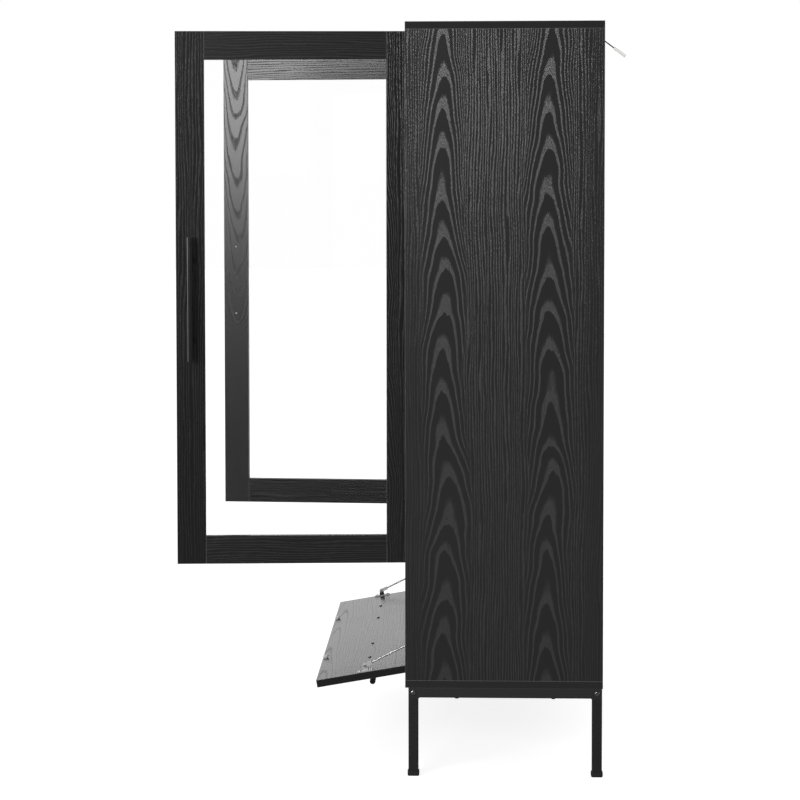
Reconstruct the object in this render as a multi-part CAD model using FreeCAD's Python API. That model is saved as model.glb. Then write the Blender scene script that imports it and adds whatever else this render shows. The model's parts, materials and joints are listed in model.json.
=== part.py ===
"""Display cabinet with two glazed doors over a drop flap, on a steel tube leg frame.

Millimetres, +Z up, front towards -Y. The doors and the flap stand open.
The origin is on the floor, midway across the width and the depth that the open cabinet takes up.
"""
import FreeCAD
import Part
import math
import os

V = FreeCAD.Vector

# Carcass boards
WIDTH = 1000.0
DEPTH = 398.0
BOARD = 15.0
ARRIS = 0.4
BACK_THICKNESS = 3.0
BACK_INSET = 8.0
GROOVE_DEPTH = 6.0
GROOVE_PLAY = 0.25

# Leg frame of square tube
LEG_HEIGHT = 180.0
TUBE = 20.0
TUBE_WALL = 1.2
TUBE_CORNER = 1.5
WELD_RADIUS = 4.0
FRAME_DEPTH = 390.0
FRAME_FRONT_INSET = 6.5
GLIDE_WIDTH = 23.6
GLIDE_HEIGHT = 9.6
GLIDE_FLOOR = 4.0
GLIDE_PLUG = 15.0
GLIDE_ROUND = 3.0
END_PLUG_LENGTH = 30.0
FRAME_BOLT_RADIUS = 3.0
FRAME_BOLT_LENGTH = 45.0
BOLT_HEAD_RADIUS = 5.6
BOLT_HEAD_HEIGHT = 3.3
HEX_RADIUS = 2.3
HEX_DEPTH = 2.0
FRAME_SCREW_RADIUS = 2.0
FRAME_SCREW_COVER = 1.0
FRAME_SCREW_HEAD_HEIGHT = 2.5

# Doors
DOOR_HEIGHT = 1070.0
DOOR_END_GAP = 3.0
DOOR_SIDE_GAP = 3.0
DOOR_MEETING_GAP = 3.0
FRONT_SETBACK = 0.5
STILE_WIDTH = 58.0
RAIL_WIDTH = 57.0
GLASS = 4.0
GLASS_PLAY = 0.25
GLASS_GROOVE = 8.0
GROOVE_STOP = 10.0
DOOR_PIVOT_INSET = 12.0
DOOR_OPEN = 94.2

# Drop flap
FLAP_HEIGHT = 209.0
FLAP_BOTTOM_GAP = 3.0
FLAP_TOP_GAP = 6.0
FLAP_SIDE_GAP = 2.5
FLAP_PIVOT_INSET = 18.0
FLAP_OPEN = 100.0

# Pivot pins and their flanged bushes
PIN_RADIUS = 3.0
PIN_BURIED = 22.0
BUSH_RADIUS = 5.0
BUSH_LENGTH = 10.0
BUSH_FLANGE = 7.0
FLANGE_THICKNESS = 1.4
RUNNING_CLEARANCE = 0.05
SEAT_CLEARANCE = 0.1
PIN_END_CLEARANCE = 0.5

# Bar handles
BAR_RADIUS = 6.0
BAR_LENGTH = 250.0
BAR_STANDOFF = 28.0
BAR_END_CHAMFER = 0.8
POST_RADIUS = 5.0
POST_SPACING = 160.0
HANDLE_SCREW_RADIUS = 2.0
HANDLE_SCREW_BITE = 10.0
HANDLE_SCREW_HEAD = 3.3
HANDLE_SCREW_HEAD_HEIGHT = 1.8

# Flap stays
STAY_ALONG = 88.0
STAY_STANDOFF = 12.0
STAY_SLOPE = 26.7
STAY_FROM_SIDE = 10.0
ROD_RADIUS = 1.9
ROD_OVERRUN = 10.0
ROD_STOP_RADIUS = 4.0
ROD_STOP_LENGTH = 4.0
FORK_WIDTH = 7.4
FORK_TAIL = 4.5
FORK_LENGTH = 15.0
FORK_HEIGHT = 7.0
FORK_SLOT_LENGTH = 9.0
EAR_THICKNESS = 3.0
EAR_RADIUS = 5.0
EAR_PLAY = 0.3
RIVET_RADIUS = 1.5
RIVET_HEAD_RADIUS = 3.0
RIVET_HEAD = 1.0
PLATE_LENGTH = 36.0
PLATE_WIDTH = 14.0
PLATE_THICKNESS = 2.0
GUIDE_RADIUS = 7.0
GUIDE_WIDTH = 12.0

# Shelves on pins
SHELF_COUNT = 3
SHELF_FRONT_INSET = 25.0
SHELF_END_GAP = 1.0
SHELF_PIN_RADIUS = 2.5
SHELF_PIN_DEPTH = 9.0
SHELF_PIN_HEAD_RADIUS = 3.5
SHELF_PIN_HEAD = 8.0
SHELF_PIN_INSET = 50.0
SHELF_HOLE_STEP = 32.0
SHELF_HOLES_EACH_WAY = 1

# Cam fasteners and dowels
JOINT_INSET = 50.0
DOWEL_OFFSET = 32.0
CAM_RADIUS = 7.5
CAM_DEPTH = 12.0
CAM_CENTRE = 34.0
CAM_MOUTH_RADIUS = 3.8
CAM_BOLT_RADIUS = 3.0
CAM_BOLT_HOLE_RADIUS = 3.5
CAM_BOLT_BITE = 10.0
DOWEL_RADIUS = 4.0
DOWEL_BITE = 10.0
DOWEL_LENGTH = 30.0
HOLE_CLEARANCE = 0.05
HOLE_END_CLEARANCE = 0.4

# Magnetic catches and the discs they hold
CATCH_WIDTH = 36.0
CATCH_DEPTH = 15.0
CATCH_HEIGHT = 22.0
MAGNET_WIDTH = 28.0
MAGNET_DEPTH = 5.0
MAGNET_HEIGHT = 10.0
MAGNET_PROUD = 0.6
DOOR_DISC_RADIUS = 4.5
DOOR_DISC_THICKNESS = 2.0
DOOR_DISC_FROM_TOP = 5.5
DOOR_DISC_FROM_FREE_EDGE = 29.0
FLAP_DISC_RADIUS = 6.0
FLAP_DISC_THICKNESS = 2.6
FLAP_DISC_NECK = 2.6
FLAP_DISC_NECK_RADIUS = 3.6
FLAP_DISC_FROM_EDGE = 7.0
DISC_WALL = 1.8
DISC_DIMPLE_DEPTH = 1.0
DISC_CHAMFER = 0.5
CATCH_GAP = 0.3

# Wall tether
TETHER_BELOW_TOP = 36.7
TETHER_SLOPE = 36.5
TETHER_PLATE_HEIGHT = 18.0
TETHER_PLATE = 2.0
TETHER_PLATE_PLAY = 0.5
TETHER_EYE_RADIUS = 2.6
TETHER_EYE_LENGTH = 4.0
TETHER_EYE_SEAT = 1.8
WIRE_RADIUS = 1.2
WIRE_LENGTH = 28.2
WIRE_BITE = 3.0
WALL_PLUG_RADIUS = 2.75
WALL_PLUG_LENGTH = 28.5
WALL_PLUG_BORE_DEPTH = 8.0

# Heights from the floor up
BOTTOM_TOP = LEG_HEIGHT + BOARD
FLAP_LOW = BOTTOM_TOP + FLAP_BOTTOM_GAP
DIVIDER_LOW = FLAP_LOW + FLAP_HEIGHT + FLAP_TOP_GAP
DIVIDER_TOP = DIVIDER_LOW + BOARD
DOOR_LOW = DIVIDER_TOP + DOOR_END_GAP
DOOR_TOP = DOOR_LOW + DOOR_HEIGHT
TOP_LOW = DOOR_TOP + DOOR_END_GAP
HEIGHT = TOP_LOW + BOARD
TETHER_HEIGHT = HEIGHT - TETHER_BELOW_TOP

# Places across the width
SIDE_X = WIDTH / 2 - BOARD
DOOR_HINGE_X = SIDE_X - DOOR_SIDE_GAP
DOOR_FREE_X = DOOR_MEETING_GAP / 2
DOOR_WIDTH = DOOR_HINGE_X - DOOR_FREE_X
DOOR_PIVOT_X = DOOR_HINGE_X - DOOR_PIVOT_INSET
FLAP_EDGE_X = SIDE_X - FLAP_SIDE_GAP
FLAP_HANDLE_X = FLAP_EDGE_X / 2
STAY_X = SIDE_X - STAY_FROM_SIDE

# Places from front to back; the open doors and the tether set the middle
DOOR_LEAN = math.radians(DOOR_OPEN - 90)
PIVOT_DEPTH = FRONT_SETBACK + BOARD / 2
REACH_FRONT = ((DOOR_WIDTH - DOOR_PIVOT_INSET) * math.cos(DOOR_LEAN)
               + BOARD / 2 * math.sin(DOOR_LEAN) - PIVOT_DEPTH)
TETHER_DIP = math.radians(TETHER_SLOPE)
REACH_BACK = ((WIRE_LENGTH + WALL_PLUG_LENGTH) * math.cos(TETHER_DIP)
              + WALL_PLUG_RADIUS * math.sin(TETHER_DIP) - BACK_INSET / 2)
FRONT = (REACH_FRONT - DEPTH - REACH_BACK) / 2
REAR = FRONT + DEPTH
BACK_Y = REAR - BACK_INSET - BACK_THICKNESS
DOOR_FACE = FRONT + FRONT_SETBACK
DOOR_BACK = DOOR_FACE + BOARD
PIVOT_Y = FRONT + PIVOT_DEPTH
FLAP_PIVOT_Z = FLAP_LOW + FLAP_PIVOT_INSET
FRAME_FRONT = FRONT + FRAME_FRONT_INSET
FRAME_REAR = FRAME_FRONT + FRAME_DEPTH
RAIL_LOW = LEG_HEIGHT - TUBE
RAIL_MIDDLE = LEG_HEIGHT - TUBE / 2
FRAME_SCREW_BITE = BOARD - GROOVE_DEPTH - FRAME_SCREW_COVER


def box(x, y, z):
    """A block between pairs of limits."""
    return Part.makeBox(x[1] - x[0], y[1] - y[0], z[1] - z[0], V(x[0], y[0], z[0]))


def board(x, y, z):
    """A block with its edges eased."""
    block = box(x, y, z)
    return block.makeChamfer(ARRIS, block.Edges)


def rod(radius, start, end):
    """A round bar between two points."""
    return Part.makeCylinder(radius, (end - start).Length, start, end - start)


def mirrored(shape):
    """The same shape on the other side of the cabinet."""
    return shape.mirror(V(0, 0, 0), V(1, 0, 0))


def pair(shape):
    """A shape on the right and its twin on the left."""
    return [shape, mirrored(shape)]


def cut_all(shape, cutters):
    return shape.cut(Part.makeCompound(cutters)) if cutters else shape


parts = {}
cuts = {"top": [], "bottom": [], "side": [], "divider": []}
fittings = {"cam_locks": [], "cam_bolts": [], "wood_dowels": []}


def cam_joint(seat, inward, face, holder, mate):
    """One cam fastener at a butt joint: the cam in the holder, its bolt driven into the mate."""
    centre = seat + inward * CAM_CENTRE
    mouth = centre + face * (BOARD / 2)
    bolt = rod(CAM_BOLT_RADIUS, seat - inward * CAM_BOLT_BITE, centre)
    cam = rod(CAM_RADIUS, mouth, mouth - face * CAM_DEPTH)
    cam = cam.cut(rod(CAM_MOUTH_RADIUS, seat, centre + inward * HOLE_END_CLEARANCE))
    pocket_end = mouth - face * (CAM_DEPTH + HOLE_END_CLEARANCE)
    pocket = rod(CAM_RADIUS + HOLE_CLEARANCE, mouth, pocket_end)
    channel = rod(CAM_BOLT_HOLE_RADIUS, seat, centre)
    bite_end = seat - inward * (CAM_BOLT_BITE + HOLE_END_CLEARANCE)
    fittings["cam_locks"] += pair(cam)
    fittings["cam_bolts"] += pair(bolt)
    return {holder: [pocket, channel], mate: [rod(CAM_BOLT_RADIUS + HOLE_CLEARANCE, bite_end, seat)]}


def dowel_joint(seat, inward, holder, mate):
    """One wooden dowel across a butt joint."""
    start = seat - inward * DOWEL_BITE
    end = start + inward * DOWEL_LENGTH
    fittings["wood_dowels"] += pair(rod(DOWEL_RADIUS, start, end))
    radius = DOWEL_RADIUS + HOLE_CLEARANCE
    return {holder: [rod(radius, seat, end + inward * HOLE_END_CLEARANCE)],
            mate: [rod(radius, start - inward * HOLE_END_CLEARANCE, seat)]}


def butt_joint(point_at, rear, inward, face, holder, mate):
    """Two cams and two dowels along one board end; point_at gives the joint's middle at a depth."""
    for y, step in ((FRONT + JOINT_INSET, 1), (rear - JOINT_INSET, -1)):
        found = [cam_joint(point_at(y), inward, face, holder, mate),
                 dowel_joint(point_at(y + step * DOWEL_OFFSET), inward, holder, mate)]
        for group in found:
            for name, cutters in group.items():
                cuts[name] += cutters


def carcass_joints():
    up, left = V(0, 0, 1), V(-1, 0, 0)
    middle = WIDTH / 2 - BOARD / 2
    butt_joint(lambda y: V(middle, y, TOP_LOW), BACK_Y, up * -1, left, "side", "top")
    butt_joint(lambda y: V(middle, y, BOTTOM_TOP), BACK_Y, up, left, "side", "bottom")
    divider_middle = DIVIDER_LOW + BOARD / 2
    butt_joint(lambda y: V(SIDE_X, y, divider_middle), BACK_Y, left, up * -1, "divider", "side")


def back_groove():
    """The slot that holds the back panel all round."""
    reach = SIDE_X + GROOVE_DEPTH
    return box((-reach, reach), (BACK_Y - GROOVE_PLAY, BACK_Y + BACK_THICKNESS + GROOVE_PLAY),
               (BOTTOM_TOP - GROOVE_DEPTH, TOP_LOW + GROOVE_DEPTH))


def shelf_levels():
    """Undersides of the shelves, evenly spaced between divider and top."""
    bay = (TOP_LOW - DIVIDER_TOP - SHELF_COUNT * BOARD) / (SHELF_COUNT + 1)
    return [DIVIDER_TOP + bay + i * (bay + BOARD) for i in range(SHELF_COUNT)]


def shelf_pin_depths():
    return (FRONT + SHELF_FRONT_INSET + SHELF_PIN_INSET, BACK_Y - SHELF_PIN_INSET)


def make_shelves():
    names = ["lower_shelf", "middle_shelf", "upper_shelf"] + [f"shelf_{i + 1}" for i in range(3, SHELF_COUNT)]
    reach = SIDE_X - SHELF_END_GAP
    pins = []
    for name, low in zip(names, shelf_levels()):
        parts[name] = [board((-reach, reach), (FRONT + SHELF_FRONT_INSET, BACK_Y - SHELF_END_GAP),
                             (low, low + BOARD))]
        axis_z = low - SHELF_PIN_HEAD_RADIUS
        for y in shelf_pin_depths():
            head = rod(SHELF_PIN_HEAD_RADIUS, V(SIDE_X - SHELF_PIN_HEAD, y, axis_z), V(SIDE_X, y, axis_z))
            shank = rod(SHELF_PIN_RADIUS, V(SIDE_X, y, axis_z), V(SIDE_X + SHELF_PIN_DEPTH, y, axis_z))
            pins += pair(head.fuse(shank).removeSplitter())
            for step in range(-SHELF_HOLES_EACH_WAY, SHELF_HOLES_EACH_WAY + 1):
                z = axis_z + step * SHELF_HOLE_STEP
                hole_end = V(SIDE_X + SHELF_PIN_DEPTH + HOLE_END_CLEARANCE, y, z)
                cuts["side"].append(rod(SHELF_PIN_RADIUS + HOLE_CLEARANCE, V(SIDE_X, y, z), hole_end))
    parts["shelf_pins"] = pins


def flanged_bush(mouth, outward):
    """A bush let into a board at its mouth, with the flange standing on the board."""
    tail = mouth - outward * BUSH_LENGTH
    lip = mouth + outward * FLANGE_THICKNESS
    body = rod(BUSH_RADIUS, tail, mouth).fuse(rod(BUSH_FLANGE, mouth, lip)).removeSplitter()
    return body.cut(rod(PIN_RADIUS + RUNNING_CLEARANCE, tail, lip))


def bush_hole(mouth, outward):
    return rod(BUSH_RADIUS + HOLE_CLEARANCE, mouth - outward * (BUSH_LENGTH + HOLE_END_CLEARANCE), mouth)


def stay_points():
    """The stay's pivot on the open flap and its guide on the side, as Y and Z.

    Both lie on one circle about the flap's hinge, so the rod turns at half the flap's rate
    and passes through the guide at every angle.
    """
    turn = math.radians(FLAP_OPEN)
    rise = BOARD / 2 + STAY_STANDOFF
    foot_y = -STAY_ALONG * math.sin(turn) + rise * math.cos(turn)
    foot_z = STAY_ALONG * math.cos(turn) + rise * math.sin(turn)
    slope = math.radians(STAY_SLOPE)
    run = -2 * (foot_y * math.cos(slope) + foot_z * math.sin(slope))
    foot = V(STAY_X, PIVOT_Y + foot_y, FLAP_PIVOT_Z + foot_z)
    along = V(0, math.cos(slope), math.sin(slope))
    return foot, foot + along * run, along


STAY_FOOT, STAY_GUIDE, STAY_DIRECTION = stay_points()


def make_bushes():
    up = V(0, 0, 1)
    top_mouth = V(DOOR_PIVOT_X, PIVOT_Y, TOP_LOW)
    low_mouth = V(DOOR_PIVOT_X, PIVOT_Y, DIVIDER_TOP)
    flap_mouth = V(SIDE_X, PIVOT_Y, FLAP_PIVOT_Z)
    guide_mouth = V(SIDE_X, STAY_GUIDE.y, STAY_GUIDE.z)
    inward = V(-1, 0, 0)
    parts["door_pivot_bushes"] = pair(flanged_bush(top_mouth, up * -1)) + pair(flanged_bush(low_mouth, up))
    parts["flap_pivot_bushes"] = pair(flanged_bush(flap_mouth, inward))
    parts["stay_guide_bushes"] = pair(flanged_bush(guide_mouth, inward))
    cuts["top"].append(bush_hole(top_mouth, up * -1))
    cuts["divider"].append(bush_hole(low_mouth, up))
    cuts["side"] += [bush_hole(flap_mouth, inward), bush_hole(guide_mouth, inward)]


def both_sides(cutters):
    return [twin for cutter in cutters for twin in pair(cutter)]


def make_carcass():
    half = WIDTH / 2
    groove = back_groove()
    top = board((-half, half), (FRONT, REAR), (TOP_LOW, HEIGHT))
    bottom = board((-half, half), (FRONT, REAR), (LEG_HEIGHT, BOTTOM_TOP))
    divider = board((-SIDE_X, SIDE_X), (FRONT, BACK_Y), (DIVIDER_LOW, DIVIDER_TOP))
    side = board((SIDE_X, half), (FRONT, REAR), (BOTTOM_TOP, TOP_LOW))
    side = cut_all(side, [groove] + cuts["side"])
    parts["top_panel"] = [cut_all(top, [groove] + both_sides(cuts["top"]))]
    parts["bottom_panel"] = [cut_all(bottom, [groove] + both_sides(cuts["bottom"]))]
    parts["divider_panel"] = [cut_all(divider, both_sides(cuts["divider"]))]
    parts["right_side_panel"] = [side]
    parts["left_side_panel"] = [mirrored(side)]
    reach = SIDE_X + GROOVE_DEPTH - GROOVE_PLAY
    parts["back_panel"] = [box((-reach, reach), (BACK_Y, BACK_Y + BACK_THICKNESS),
                               (BOTTOM_TOP - GROOVE_DEPTH, TOP_LOW + GROOVE_DEPTH - GROOVE_PLAY))]


def frame_outline(inset):
    """The side frame seen from the side: two legs and the rail that joins them, drawn in by inset."""
    y0, y1 = FRAME_FRONT + inset, FRAME_REAR - inset
    inner0, inner1 = FRAME_FRONT + TUBE - inset, FRAME_REAR - TUBE + inset
    top, under = LEG_HEIGHT - inset, RAIL_LOW + inset
    bend = WELD_RADIUS + inset
    slack = bend * (1 - math.sqrt(0.5))

    def at(y, z):
        return V(WIDTH / 2 - TUBE, y, z)

    corners = [at(inner0, GLIDE_FLOOR), at(y0, GLIDE_FLOOR), at(y0, top), at(y1, top),
               at(y1, GLIDE_FLOOR), at(inner1, GLIDE_FLOOR), at(inner1, under - bend)]
    edges = [Part.LineSegment(a, b).toShape() for a, b in zip(corners, corners[1:])]
    edges.append(Part.Arc(at(inner1, under - bend), at(inner1 - slack, under - slack),
                          at(inner1 - bend, under)).toShape())
    edges.append(Part.LineSegment(at(inner1 - bend, under), at(inner0 + bend, under)).toShape())
    edges.append(Part.Arc(at(inner0 + bend, under), at(inner0 + slack, under - slack),
                          at(inner0, under - bend)).toShape())
    edges.append(Part.LineSegment(at(inner0, under - bend), corners[0]).toShape())
    return Part.Face(Part.Wire(edges))


def tube_edges(shape):
    """The long arrises of a side frame, which a drawn tube has rounded."""
    low = GLIDE_FLOOR + TUBE_CORNER
    return [edge for edge in shape.Edges
            if edge.BoundBox.XLength < TUBE_CORNER and edge.BoundBox.ZMax > low]


def leg_depths():
    return (FRAME_FRONT + TUBE / 2, FRAME_REAR - TUBE / 2)


def frame_screw_places():
    """Where screws go up through the rails into the bottom panel, on the right half."""
    spread = FRAME_DEPTH / 4
    middle = FRAME_FRONT + FRAME_DEPTH / 2
    rail_x = WIDTH / 2 - TUBE / 2
    cross_x = WIDTH / 4
    return [(rail_x, middle - spread), (rail_x, middle + spread)] + [(cross_x, y) for y in leg_depths()]


def frame_screw_holes():
    radius = FRAME_SCREW_RADIUS + HOLE_CLEARANCE
    return [rod(radius, V(x, y, RAIL_LOW), V(x, y, LEG_HEIGHT)) for x, y in frame_screw_places()]


def make_side_frames():
    outer = frame_outline(0).extrude(V(TUBE, 0, 0))
    outer = outer.makeFillet(TUBE_CORNER, tube_edges(outer))
    hollow = frame_outline(TUBE_WALL).extrude(V(TUBE - 2 * TUBE_WALL, 0, 0))
    hollow.translate(V(TUBE_WALL, 0, 0))
    bolt_holes = [rod(FRAME_BOLT_RADIUS + HOLE_CLEARANCE, V(WIDTH / 2 - TUBE, y, RAIL_MIDDLE),
                      V(WIDTH / 2, y, RAIL_MIDDLE)) for y in leg_depths()]
    frame = cut_all(outer.cut(hollow), bolt_holes + frame_screw_holes())
    parts["right_leg_frame"] = [frame]
    parts["left_leg_frame"] = [mirrored(frame)]


def make_cross_rails():
    reach = WIDTH / 2 - TUBE
    inside = TUBE / 2 - TUBE_WALL
    plug_half = inside - HOLE_CLEARANCE
    plugs, bolts = [], []
    for name, y in zip(("front_cross_rail", "rear_cross_rail"), leg_depths()):
        rail = box((-reach, reach), (y - TUBE / 2, y + TUBE / 2), (RAIL_LOW, LEG_HEIGHT))
        long_edges = [edge for edge in rail.Edges if edge.BoundBox.XLength > reach]
        rail = rail.makeFillet(TUBE_CORNER, long_edges)
        hollow = box((-reach, reach), (y - inside, y + inside), (RAIL_MIDDLE - inside, RAIL_MIDDLE + inside))
        parts[name] = [cut_all(rail, [hollow] + both_sides(frame_screw_holes()))]
        seat, tip = V(reach, y, RAIL_MIDDLE), V(WIDTH / 2 - FRAME_BOLT_LENGTH, y, RAIL_MIDDLE)
        plug = box((reach - END_PLUG_LENGTH, reach), (y - plug_half, y + plug_half),
                   (RAIL_MIDDLE - plug_half, RAIL_MIDDLE + plug_half))
        plugs += pair(plug.cut(rod(FRAME_BOLT_RADIUS + HOLE_CLEARANCE, tip, seat)))
        bolts += pair(frame_bolt(y, tip))
    parts["cross_rail_plugs"] = plugs
    parts["frame_bolts"] = bolts


def frame_bolt(y, tip):
    """A domed socket bolt, head outside the leg."""
    seat = V(WIDTH / 2, y, RAIL_MIDDLE)
    crown = seat + V(BOLT_HEAD_HEIGHT, 0, 0)
    head = rod(BOLT_HEAD_RADIUS, seat, crown)
    rim = [edge for edge in head.Edges if edge.Closed and (edge.CenterOfMass - crown).Length < ARRIS]
    head = head.makeFillet(BOLT_HEAD_HEIGHT * 0.7, rim)
    socket = Part.Face(Part.makePolygon([crown + V(0, HEX_RADIUS * math.cos(a), HEX_RADIUS * math.sin(a))
                                         for a in [i * math.pi / 3 for i in range(7)]]))
    head = head.cut(socket.extrude(V(-HEX_DEPTH, 0, 0)))
    return head.fuse(rod(FRAME_BOLT_RADIUS, tip, seat)).removeSplitter()


def make_frame_screws():
    screws = []
    for x, y in frame_screw_places():
        tip = V(x, y, LEG_HEIGHT + FRAME_SCREW_BITE)
        seat = V(x, y, RAIL_LOW)
        shank = rod(FRAME_SCREW_RADIUS, seat, tip)
        head = rod(FRAME_SCREW_RADIUS * 2, seat - V(0, 0, FRAME_SCREW_HEAD_HEIGHT), seat)
        screws += pair(head.fuse(shank).removeSplitter())
        cuts["bottom"].append(rod(FRAME_SCREW_RADIUS + HOLE_CLEARANCE, V(x, y, LEG_HEIGHT),
                                  tip + V(0, 0, HOLE_END_CLEARANCE)))
    parts["frame_screws"] = screws


def make_glides():
    """Push-on feet: a low rounded cap round the tube's end and a plug inside it."""
    half = GLIDE_WIDTH / 2
    snug = TUBE / 2 + HOLE_CLEARANCE
    plug_half = TUBE / 2 - TUBE_WALL - HOLE_CLEARANCE
    x = WIDTH / 2 - TUBE / 2
    glides = []
    for y in leg_depths():
        cap = box((x - half, x + half), (y - half, y + half), (0, GLIDE_HEIGHT))
        cap = cap.makeFillet(GLIDE_ROUND, [edge for edge in cap.Edges
                                            if edge.BoundBox.ZMin < GLIDE_HEIGHT / 2])
        cap = cap.cut(box((x - snug, x + snug), (y - snug, y + snug), (GLIDE_FLOOR, GLIDE_HEIGHT)))
        plug = box((x - plug_half, x + plug_half), (y - plug_half, y + plug_half),
                   (GLIDE_FLOOR, GLIDE_FLOOR + GLIDE_PLUG))
        glides += pair(cap.fuse(plug).removeSplitter())
    parts["leg_glides"] = glides


def bar_handle(foot, along, outward):
    """A round bar on two posts, centred over foot, standing off the face along outward."""
    centre = foot + outward * BAR_STANDOFF
    start, end = centre - along * (BAR_LENGTH / 2), centre + along * (BAR_LENGTH / 2)
    bar = rod(BAR_RADIUS, start, end)
    bar = bar.makeChamfer(BAR_END_CHAMFER, [edge for edge in bar.Edges if edge.Closed])
    for side in (-1, 1):
        post_foot = foot + along * (side * POST_SPACING / 2)
        bar = bar.fuse(rod(POST_RADIUS, post_foot, post_foot + outward * BAR_STANDOFF))
        socket_end = post_foot + outward * (HANDLE_SCREW_BITE + HOLE_END_CLEARANCE)
        bar = bar.cut(rod(HANDLE_SCREW_RADIUS + HOLE_CLEARANCE, post_foot, socket_end))
    return bar.removeSplitter()


def handle_screws(foot, along, outward):
    """Screws through the board into the posts, and the holes for them."""
    screws, holes = [], []
    for side in (-1, 1):
        face = foot + along * (side * POST_SPACING / 2)
        back = face - outward * BOARD
        shank = rod(HANDLE_SCREW_RADIUS, back, face + outward * HANDLE_SCREW_BITE)
        head = rod(HANDLE_SCREW_HEAD, back - outward * HANDLE_SCREW_HEAD_HEIGHT, back)
        rim = [edge for edge in head.Edges if edge.Closed and (edge.CenterOfMass - back).Length > ARRIS]
        head = head.makeFillet(HANDLE_SCREW_HEAD_HEIGHT * 0.6, rim)
        screws.append(head.fuse(shank).removeSplitter())
        holes.append(rod(HANDLE_SCREW_RADIUS + HOLE_CLEARANCE, back, face))
    return screws, holes


def pivot_pin(end_face, outward, gap, seated):
    """A pin let into a board's end; one that carries weight has a collar standing on the bush."""
    tip = end_face + outward * (gap + BUSH_LENGTH - PIN_END_CLEARANCE)
    pin = rod(PIN_RADIUS, end_face - outward * PIN_BURIED, tip)
    if seated:
        collar = end_face + outward * (gap - FLANGE_THICKNESS - SEAT_CLEARANCE)
        pin = pin.fuse(rod(BUSH_FLANGE, end_face, collar)).removeSplitter()
    return pin


def pin_hole(end_face, outward):
    return rod(PIN_RADIUS + HOLE_CLEARANCE, end_face - outward * (PIN_BURIED + HOLE_END_CLEARANCE), end_face)


def catch_disc(centre, outward, radius, thickness):
    """A round steel keeper with a dimple for its screw."""
    crown = centre + outward * thickness
    disc = rod(radius, centre, crown)
    rim = [edge for edge in disc.Edges if edge.Closed and (edge.CenterOfMass - crown).Length < ARRIS]
    disc = disc.makeChamfer(DISC_CHAMFER, rim)
    return disc.cut(rod(radius - DISC_WALL, crown - outward * DISC_DIMPLE_DEPTH, crown))


def glass_grooves():
    """The slot round the door opening, stopped short of the stiles' ends."""
    y = PIVOT_Y
    half = GLASS / 2 + GLASS_PLAY
    opening = (DOOR_FREE_X + STILE_WIDTH, DOOR_HINGE_X - STILE_WIDTH)
    slot = (y - half, y + half)
    stile_slot = box((opening[0] - GLASS_GROOVE, opening[1] + GLASS_GROOVE), slot,
                     (DOOR_LOW + GROOVE_STOP, DOOR_TOP - GROOVE_STOP))
    rail_slot = box((opening[0] - GLASS_GROOVE, opening[1] + GLASS_GROOVE), slot,
                    (DOOR_LOW + RAIL_WIDTH - GLASS_GROOVE, DOOR_TOP - RAIL_WIDTH + GLASS_GROOVE))
    return opening, stile_slot, rail_slot


def door_rail(opening, low, high, stopped_low, stopped_high, slot):
    """A rail between the stiles, with a tongue at each end in the stiles' slot."""
    body = board(opening, (DOOR_FACE, DOOR_BACK), (low, high))
    reach = GLASS_GROOVE - GLASS_PLAY
    tongue = box((opening[0] - reach, opening[1] + reach), (PIVOT_Y - GLASS / 2, PIVOT_Y + GLASS / 2),
                 (stopped_low, stopped_high))
    return body.fuse(tongue).removeSplitter().cut(slot)


def right_door():
    """The right door's pieces, closed."""
    depth = (DOOR_FACE, DOOR_BACK)
    opening, stile_slot, rail_slot = glass_grooves()
    front, up = V(0, -1, 0), V(0, 0, 1)
    grip = V(DOOR_FREE_X + STILE_WIDTH / 2, DOOR_FACE, (DOOR_LOW + DOOR_TOP) / 2)
    screws, screw_holes = handle_screws(grip, up, front)
    top_end, low_end = V(DOOR_PIVOT_X, PIVOT_Y, DOOR_TOP), V(DOOR_PIVOT_X, PIVOT_Y, DOOR_LOW)
    pin_holes = [pin_hole(top_end, up), pin_hole(low_end, up * -1)]
    hinge = board((opening[1], DOOR_HINGE_X), depth, (DOOR_LOW, DOOR_TOP))
    meeting = board((DOOR_FREE_X, opening[0]), depth, (DOOR_LOW, DOOR_TOP))
    low_rail, top_rail = DOOR_LOW + RAIL_WIDTH, DOOR_TOP - RAIL_WIDTH
    pane = GLASS_GROOVE - GLASS_PLAY
    disc_at = V(DOOR_FREE_X + DOOR_DISC_FROM_FREE_EDGE, DOOR_BACK, DOOR_TOP - DOOR_DISC_FROM_TOP)
    return {
        "hinge_stile": [cut_all(hinge, [stile_slot] + pin_holes)],
        "meeting_stile": [cut_all(meeting, [stile_slot] + screw_holes)],
        "top_rail": [door_rail(opening, top_rail, DOOR_TOP, top_rail, DOOR_TOP - GROOVE_STOP, rail_slot)],
        "bottom_rail": [door_rail(opening, DOOR_LOW, low_rail, DOOR_LOW + GROOVE_STOP, low_rail, rail_slot)],
        "glass": [box((opening[0] - pane, opening[1] + pane), (PIVOT_Y - GLASS / 2, PIVOT_Y + GLASS / 2),
                      (low_rail - GLASS_GROOVE, top_rail + pane))],
        "handle": [bar_handle(grip, up, front)],
        "handle_screws": screws,
        "pivot_pins": [pivot_pin(top_end, up, DOOR_END_GAP, False),
                       pivot_pin(low_end, up * -1, DOOR_END_GAP, True)],
        "catch_disc": [catch_disc(disc_at, front * -1, DOOR_DISC_RADIUS, DOOR_DISC_THICKNESS)],
    }


def make_doors():
    pivot = V(DOOR_PIVOT_X, PIVOT_Y, 0)
    for name, shapes in right_door().items():
        opened = [shape.rotated(pivot, V(0, 0, 1), DOOR_OPEN) for shape in shapes]
        parts["right_door_" + name] = opened
        parts["left_door_" + name] = [mirrored(shape) for shape in opened]


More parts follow.
